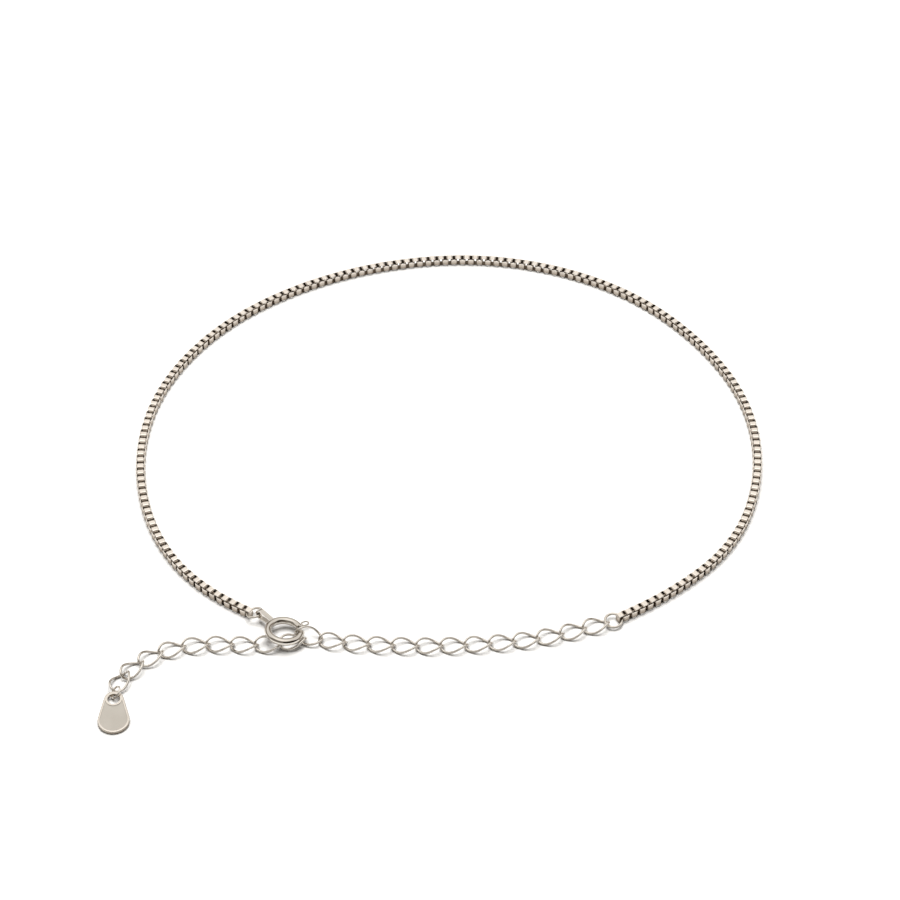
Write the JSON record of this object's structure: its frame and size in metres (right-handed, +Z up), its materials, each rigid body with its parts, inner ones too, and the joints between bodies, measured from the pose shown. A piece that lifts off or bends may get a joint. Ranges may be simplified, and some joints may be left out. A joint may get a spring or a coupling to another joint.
{
  "type": "chain anklet",
  "caption": "Adjustable chain anklet lying as a closed loop: box chain, twisted-link adjuster, spring-ring clasp and small teardrop end tag.",
  "frame": {"origin": "centre of the bounding box in plan, on the flat surface that the anklet rests on", "axes": "+Z up from the surface; +Y from the adjuster and clasp towards the back of the loop; +X towards the end of the loop that holds the end jump ring; the clasp and the tag are on the -X side"},
  "size_m": [0.0831, 0.0885, 0.0021],
  "materials": {
    "chain_metal": "polished white precious metal",
    "ring_metal": "polished white precious metal",
    "link_metal": "polished white precious metal",
    "clasp_metal": "polished white precious metal",
    "tag_metal": "polished rim, matte recessed panel"
  },
  "bodies": {
    "anklet": {"box_chain": "chain_metal", "end_jump_ring": "ring_metal", "clasp_jump_ring": "ring_metal", "tag_jump_ring": "ring_metal", "clasp_ring": "clasp_metal", "tag": "tag_metal", "adjuster_link_01": "link_metal", "adjuster_link_02": "link_metal", "adjuster_link_03": "link_metal", "adjuster_link_04": "link_metal", "adjuster_link_05": "link_metal", "adjuster_link_06": "link_metal", "adjuster_link_07": "link_metal", "adjuster_link_08": "link_metal", "adjuster_link_09": "link_metal", "adjuster_link_10": "link_metal", "adjuster_link_11": "link_metal", "adjuster_link_12": "link_metal", "adjuster_link_13": "link_metal", "adjuster_link_14": "link_metal", "adjuster_link_15": "link_metal", "adjuster_link_16": "link_metal", "adjuster_link_17": "link_metal", "adjuster_link_18": "link_metal", "adjuster_link_19": "link_metal", "adjuster_link_20": "link_metal", "adjuster_link_21": "link_metal", "adjuster_link_22": "link_metal"},
    "clasp_bolt": {"clasp_bolt": "clasp_metal"}
  },
  "joints": [
    {"name": "clasp_trigger", "type": "hinge", "parent": "anklet", "child": "clasp_bolt", "pos_m": [-0.01967, -0.02832, 0.00133], "axis": [0.118, 0.109, 0.987], "range_deg": [0, 38], "stiffness_Nm_per_rad": 0.003}
  ]
}
